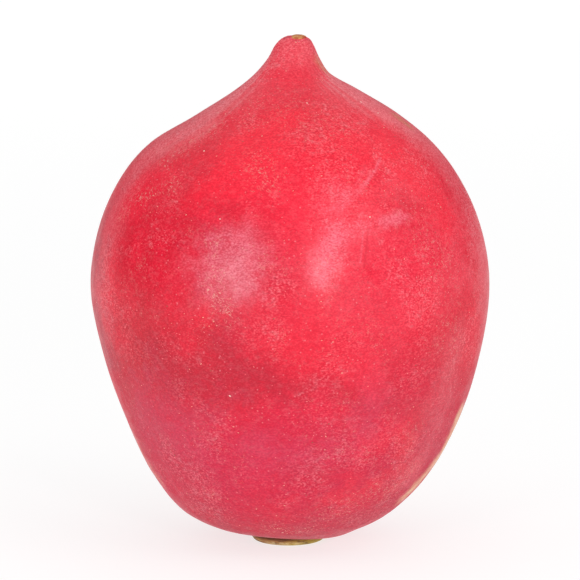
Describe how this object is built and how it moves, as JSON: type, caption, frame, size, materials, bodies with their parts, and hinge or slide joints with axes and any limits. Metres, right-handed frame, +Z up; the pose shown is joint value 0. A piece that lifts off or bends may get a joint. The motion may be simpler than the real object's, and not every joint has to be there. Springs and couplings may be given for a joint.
{
  "type": "radish",
  "caption": "Large round red-skinned radish, topped flush at the crown and standing on the cut, with a hollow-sided shoulder drawn up to a short broken root tip.",
  "frame": {"origin": "centre of the root over the flush cut of the crown, at the height of the cut it stands on", "axes": "+Z up the root, from the cut crown to the root tip; -Y to the front, the side that the picture shows; +X to the right seen from the front"},
  "size_m": [0.0858, 0.0818, 0.1096],
  "materials": {
    "radish_skin": "satin skin, finely speckled"
  },
  "bodies": {
    "root": {"radish": "radish_skin"}
  },
  "joints": []
}
